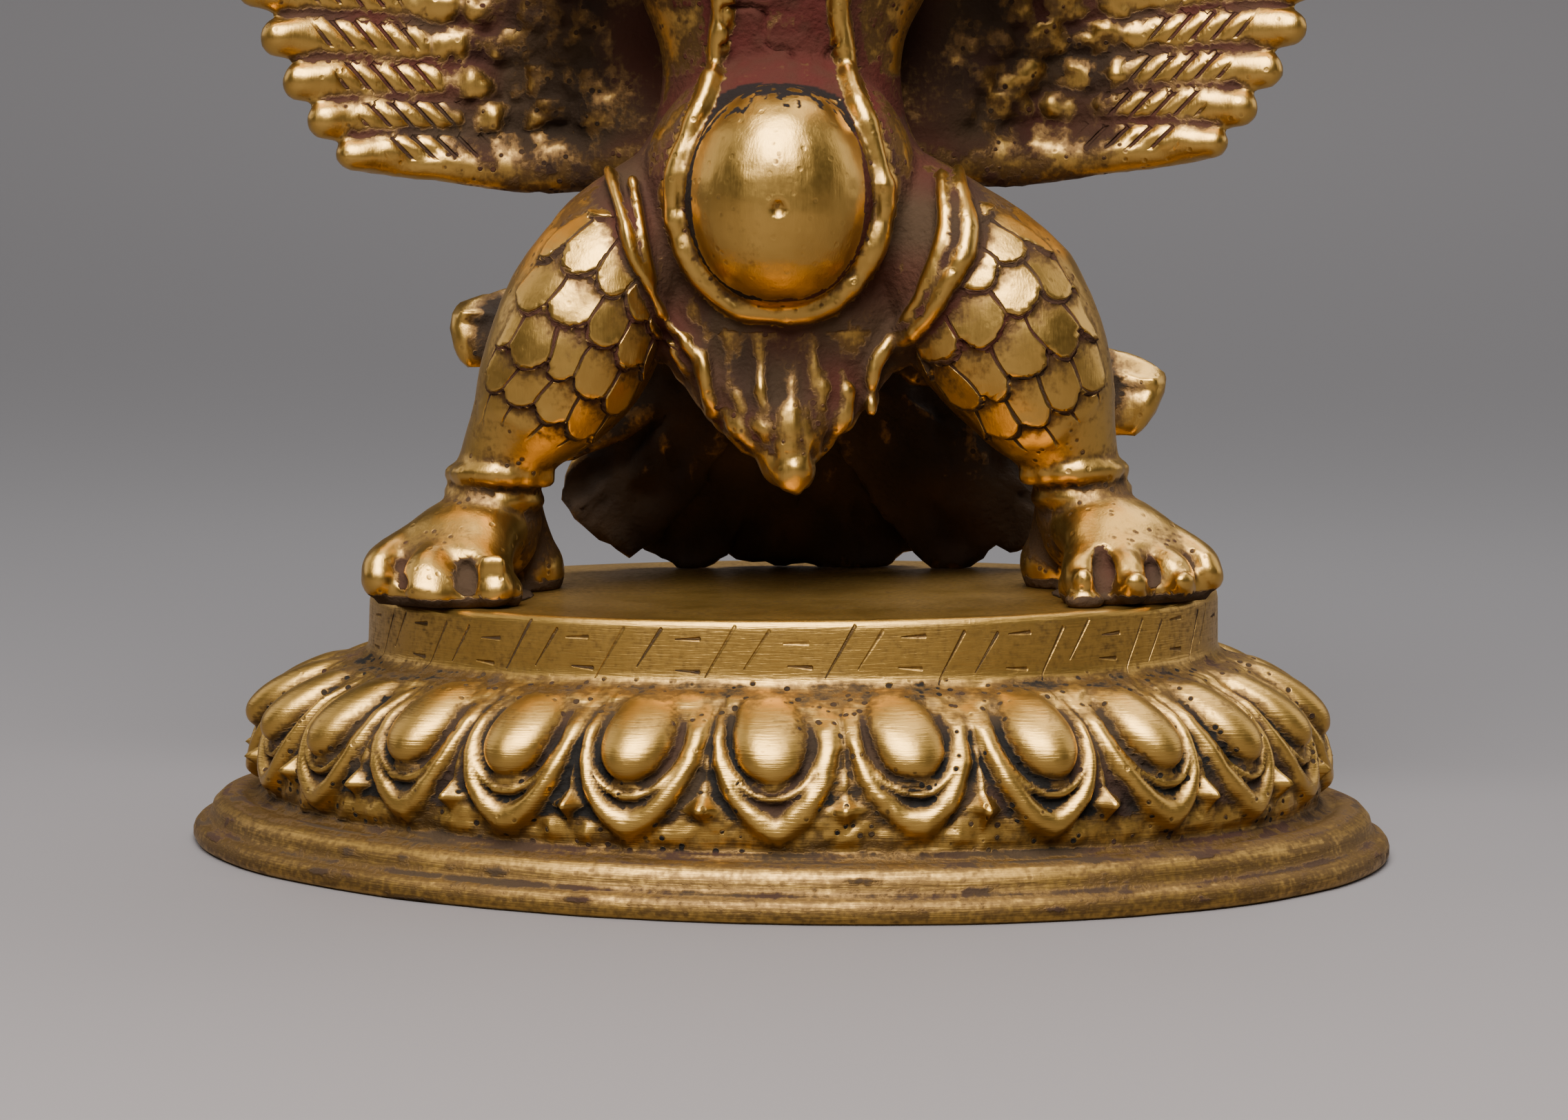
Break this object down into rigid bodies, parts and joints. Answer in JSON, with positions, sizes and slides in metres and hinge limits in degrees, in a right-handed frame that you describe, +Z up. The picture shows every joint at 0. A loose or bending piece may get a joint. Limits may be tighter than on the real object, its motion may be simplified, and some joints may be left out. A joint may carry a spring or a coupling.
{
  "type": "garuda statue",
  "caption": "Cast brass winged bird deity with a round belly, scaled legs and a fanned tail, standing on an oval lotus base.",
  "frame": {"origin": "middle of the base's flat underside, on the surface it stands on", "axes": "+Z up; the figure faces -Y; +X to its left, on the viewer's right"},
  "size_m": [0.0932, 0.066, 0.123],
  "materials": {
    "base_brass": "filed and worn, dark in the recesses",
    "figure_brass": "rubbed bright on high spots, dark red and brown in the recesses"
  },
  "bodies": {
    "root": {"lotus_base": "base_brass", "garuda_figure": "figure_brass"}
  },
  "joints": []
}
